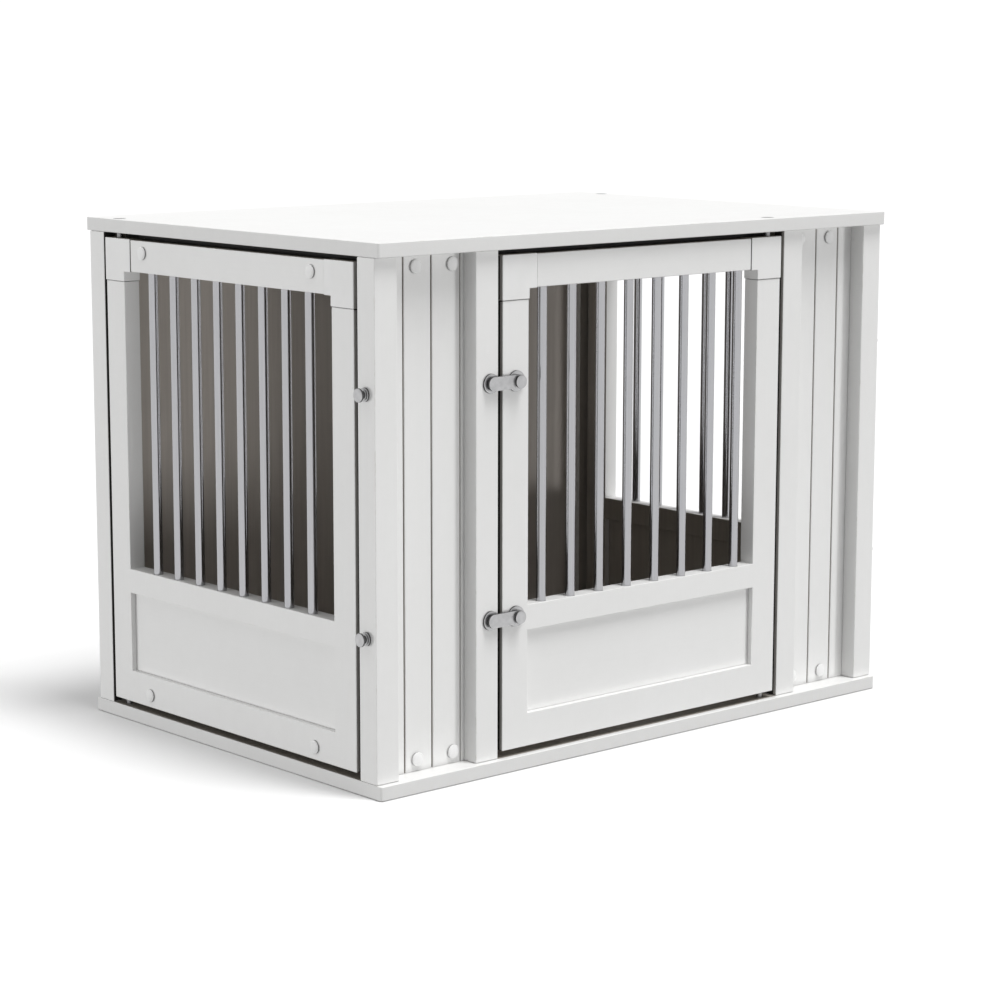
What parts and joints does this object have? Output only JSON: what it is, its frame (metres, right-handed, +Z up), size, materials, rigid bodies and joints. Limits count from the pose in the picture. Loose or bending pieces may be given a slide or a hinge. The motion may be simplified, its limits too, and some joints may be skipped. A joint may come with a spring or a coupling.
{
  "type": "dog crate end table",
  "caption": "White box-shaped pet crate with a flat tabletop, barred swinging doors in the front and both short sides, and turning latches.",
  "frame": {"origin": "middle of the underside of the base board, on the floor", "axes": "+Z up; +X to the right along the long side; -Y is the front with the wide barred door and its two latches, so the back board faces +Y"},
  "size_m": [0.903, 0.6085, 0.66],
  "materials": {
    "white_board": "smooth white lacquered board",
    "white_corner_blocks": "white moulded plastic, satin",
    "white_caps": "white domed caps, satin",
    "bar_steel": "polished tube",
    "latch_metal": "satin cast metal, grey",
    "pivot_steel": "plain steel",
    "black_stop": "black moulding, matt"
  },
  "bodies": {
    "carcass": {"top_panel": "white_board", "base_panel": "white_board", "back_panel": "white_board", "corner_post_front_left": "white_board", "corner_post_front_right": "white_board", "corner_post_rear_left": "white_board", "corner_post_rear_right": "white_board", "door_jamb_left": "white_board", "door_jamb_right": "white_board", "flank_panel_left": "white_board", "flank_panel_right": "white_board", "door_stop_strip": "black_stop", "flank_bolt_left_upper_outer": "white_caps", "flank_bolt_left_upper_inner": "white_caps", "flank_bolt_left_lower_outer": "white_caps", "flank_bolt_left_lower_inner": "white_caps", "flank_bolt_right_upper_outer": "white_caps", "flank_bolt_right_upper_inner": "white_caps", "flank_bolt_right_lower_outer": "white_caps", "flank_bolt_right_lower_inner": "white_caps", "front_door_pivot_upper": "pivot_steel", "front_door_pivot_lower": "pivot_steel", "left_door_pivot_upper": "pivot_steel", "left_door_pivot_lower": "pivot_steel", "right_door_pivot_upper": "pivot_steel", "right_door_pivot_lower": "pivot_steel", "latch_stud_upper": "latch_metal", "latch_stud_lower": "latch_metal"},
    "front_door": {"front_door_frame": "white_board", "front_door_top_rail": "white_board", "front_door_lower_panel": "white_board", "front_door_bars": "bar_steel", "front_door_corner_hinge_side": "white_corner_blocks", "front_door_corner_latch_side": "white_corner_blocks", "front_door_latch_knob_upper": "latch_metal", "front_door_latch_knob_lower": "latch_metal"},
    "left_door": {"left_door_frame": "white_board", "left_door_top_rail": "white_board", "left_door_lower_panel": "white_board", "left_door_bars": "bar_steel", "left_door_corner_hinge_side": "white_corner_blocks", "left_door_corner_latch_side": "white_corner_blocks", "left_door_screw_upper_rear": "white_caps", "left_door_screw_upper_front": "white_caps", "left_door_screw_lower_rear": "white_caps", "left_door_screw_lower_front": "white_caps"},
    "right_door": {"right_door_frame": "white_board", "right_door_top_rail": "white_board", "right_door_lower_panel": "white_board", "right_door_bars": "bar_steel", "right_door_screw_upper_front": "white_caps", "right_door_screw_upper_rear": "white_caps", "right_door_screw_lower_front": "white_caps", "right_door_screw_lower_rear": "white_caps"},
    "upper_link": {"latch_link_upper": "latch_metal"},
    "lower_link": {"latch_link_lower": "latch_metal"},
    "left_upper_knob": {"left_knob_upper": "latch_metal"},
    "left_lower_knob": {"left_knob_lower": "latch_metal"},
    "right_upper_knob": {"right_knob_upper": "latch_metal"},
    "right_lower_knob": {"right_knob_lower": "latch_metal"}
  },
  "joints": [
    {"name": "front_door_hinge", "type": "hinge", "parent": "carcass", "child": "front_door", "pos_m": [0.229, -0.283, 0.33], "axis": [0, 0, 1], "range_deg": [0, 110]},
    {"name": "left_door_hinge", "type": "hinge", "parent": "carcass", "child": "left_door", "pos_m": [-0.4285, 0.242, 0.33], "axis": [0, 0, -1], "range_deg": [0, 110]},
    {"name": "right_door_hinge", "type": "hinge", "parent": "carcass", "child": "right_door", "pos_m": [0.4285, 0.242, 0.33], "axis": [0, 0, 1], "range_deg": [0, 110]},
    {"name": "upper_link_pivot", "type": "hinge", "parent": "carcass", "child": "upper_link", "pos_m": [-0.262, -0.3005, 0.483], "axis": [0, -1, 0], "range_deg": [0, 100]},
    {"name": "lower_link_pivot", "type": "hinge", "parent": "carcass", "child": "lower_link", "pos_m": [-0.262, -0.3005, 0.193], "axis": [0, -1, 0], "range_deg": [0, 100]},
    {"name": "left_upper_knob_turn", "type": "hinge", "parent": "carcass", "child": "left_upper_knob", "pos_m": [-0.44, -0.2765, 0.483], "axis": [1, 0, 0], "range_deg": [0, 90]},
    {"name": "left_lower_knob_turn", "type": "hinge", "parent": "carcass", "child": "left_lower_knob", "pos_m": [-0.44, -0.2765, 0.193], "axis": [1, 0, 0], "range_deg": [0, 90]},
    {"name": "right_upper_knob_turn", "type": "hinge", "parent": "carcass", "child": "right_upper_knob", "pos_m": [0.44, -0.2765, 0.483], "axis": [1, 0, 0], "range_deg": [0, 90]},
    {"name": "right_lower_knob_turn", "type": "hinge", "parent": "carcass", "child": "right_lower_knob", "pos_m": [0.44, -0.2765, 0.193], "axis": [1, 0, 0], "range_deg": [0, 90]}
  ]
}
